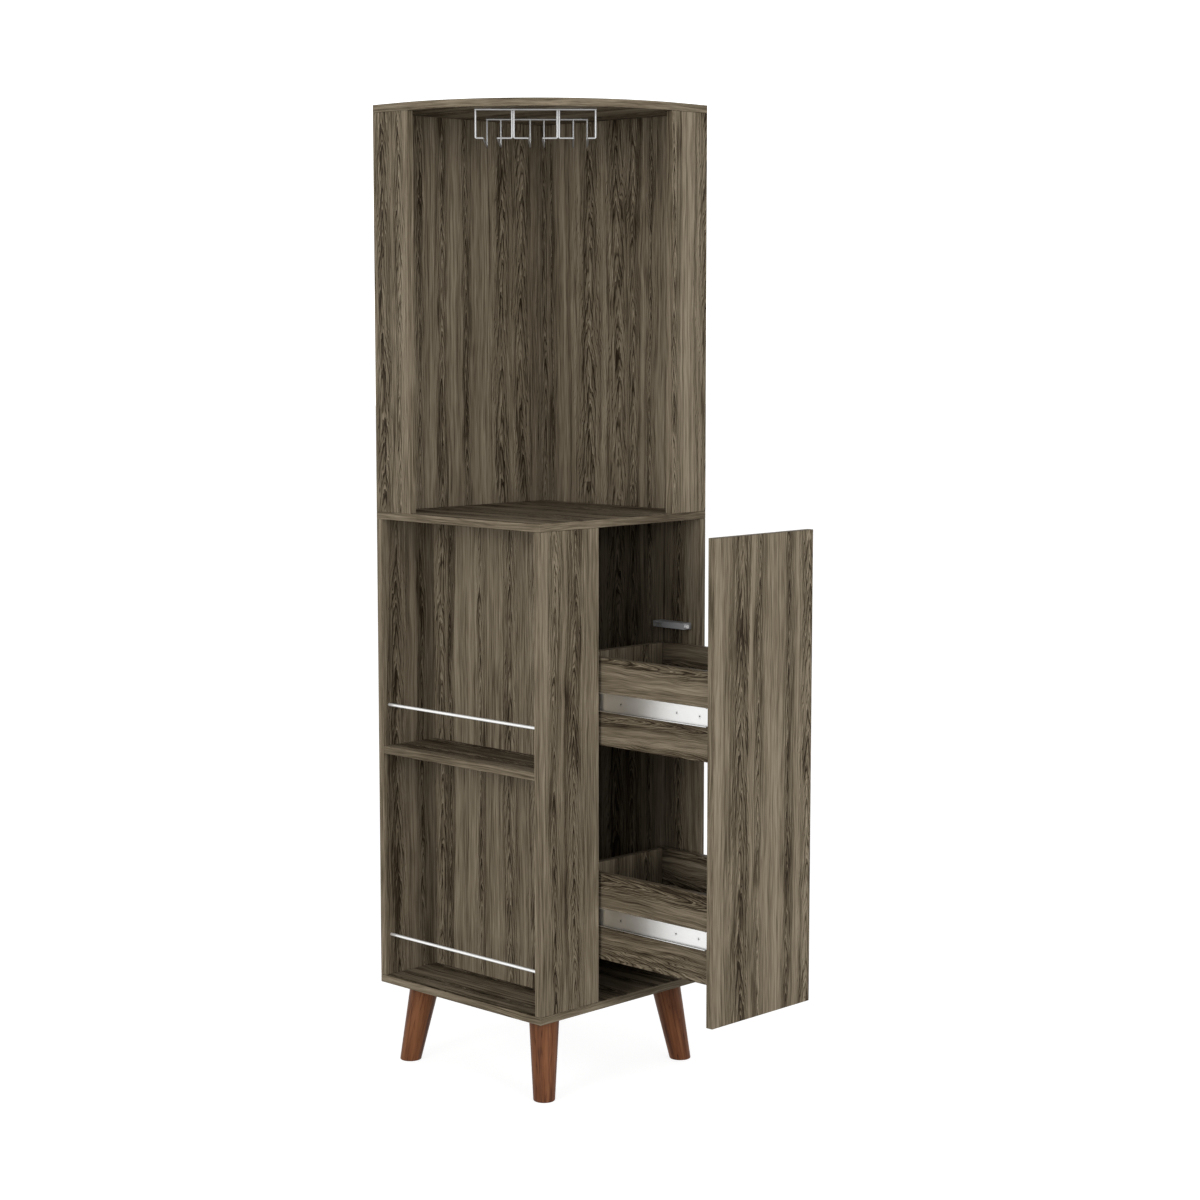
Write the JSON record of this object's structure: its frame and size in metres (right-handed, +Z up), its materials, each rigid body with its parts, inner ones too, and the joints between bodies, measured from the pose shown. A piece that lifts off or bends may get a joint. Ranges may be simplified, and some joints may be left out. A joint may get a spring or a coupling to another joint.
{
  "type": "corner bar cabinet",
  "caption": "Square corner bar cabinet on splayed legs: open side shelves with guard rails, a tall pull-out with bottle drawers, and a hutch with a wire stemware rack.",
  "frame": {"origin": "on the floor under the middle of the cabinet's square plan", "axes": "+Z up; -Y is the face with the open shelves, +X the face with the pull-out, the room's corner is at -X +Y"},
  "size_m": [0.734, 0.45, 1.86],
  "materials": {
    "walnut_laminate": "satin laminate with a walnut grain",
    "leg_wood": "satin stained wood",
    "rail_chrome": "polished",
    "rack_wire": "satin plated",
    "slide_zinc": "zinc plated sheet",
    "ball_steel": "polished",
    "fastener_steel": "zinc plated",
    "dowel_wood": "raw beech",
    "latch_grey": "moulded",
    "latch_white": "moulded"
  },
  "bodies": {
    "cabinet": {"bottom_panel": "walnut_laminate", "left_side_panel": "walnut_laminate", "lower_back_panel": "walnut_laminate", "corner_post": "walnut_laminate", "divider_panel": "walnut_laminate", "fixed_shelf": "walnut_laminate", "worktop": "walnut_laminate", "upper_left_panel": "walnut_laminate", "upper_back_panel": "walnut_laminate", "left_stile": "walnut_laminate", "right_stile": "walnut_laminate", "top_panel": "walnut_laminate", "front_leg": "leg_wood", "left_leg": "leg_wood", "right_leg": "leg_wood", "rear_leg": "leg_wood", "upper_guard_rail": "rail_chrome", "lower_guard_rail": "rail_chrome", "rack_left_lane_wires": "rack_wire", "rack_middle_lane_wires": "rack_wire", "rack_right_lane_wires": "rack_wire", "rack_bars": "rack_wire", "lower_near_cabinet_slide": "slide_zinc", "lower_far_cabinet_slide": "slide_zinc", "upper_near_cabinet_slide": "slide_zinc", "upper_far_cabinet_slide": "slide_zinc", "latch_springs": "ball_steel", "assembly_screws": "fastener_steel", "carcass_cams": "fastener_steel", "carcass_cam_bolts": "fastener_steel", "leg_bolts": "fastener_steel", "leg_inserts": "fastener_steel", "cabinet_slide_screws": "fastener_steel", "latch_screws": "fastener_steel", "carcass_dowels": "dowel_wood", "near_latch_housing": "latch_grey", "far_latch_housing": "latch_grey"},
    "drawer_unit": {"drawer_front": "walnut_laminate", "lower_drawer_near_side": "walnut_laminate", "lower_drawer_far_side": "walnut_laminate", "lower_drawer_back": "walnut_laminate", "lower_drawer_bottom": "walnut_laminate", "upper_drawer_near_side": "walnut_laminate", "upper_drawer_far_side": "walnut_laminate", "upper_drawer_back": "walnut_laminate", "upper_drawer_bottom": "walnut_laminate", "lower_near_drawer_slide": "slide_zinc", "lower_far_drawer_slide": "slide_zinc", "upper_near_drawer_slide": "slide_zinc", "upper_far_drawer_slide": "slide_zinc", "drawer_slide_screws": "fastener_steel", "drawer_cams": "fastener_steel", "drawer_cam_bolts": "fastener_steel", "drawer_dowels": "dowel_wood"},
    "ball_strips": {"slide_ball_strips": "slide_zinc", "slide_balls": "ball_steel"},
    "near_plunger": {"near_latch_plunger": "latch_white"},
    "far_plunger": {"far_latch_plunger": "latch_white"}
  },
  "joints": [
    {"name": "drawer_slide", "type": "slide", "parent": "cabinet", "child": "drawer_unit", "axis": [1, 0, 0], "range_m": [-0.284, 0]},
    {"name": "ball_strip_travel", "type": "slide", "parent": "cabinet", "child": "ball_strips", "axis": [1, 0, 0], "range_m": [-0.142, 0]},
    {"name": "near_latch_press", "type": "slide", "parent": "cabinet", "child": "near_plunger", "axis": [1, 0, 0], "range_m": [-0.004, 0], "stiffness_N_per_m": 600, "deforming": ["latch_springs"]},
    {"name": "far_latch_press", "type": "slide", "parent": "cabinet", "child": "far_plunger", "axis": [1, 0, 0], "range_m": [-0.004, 0], "stiffness_N_per_m": 600, "deforming": ["latch_springs"]}
  ],
  "couplings": [
    {"joint": "ball_strip_travel", "follows": "drawer_slide", "ratio": 0.5}
  ]
}
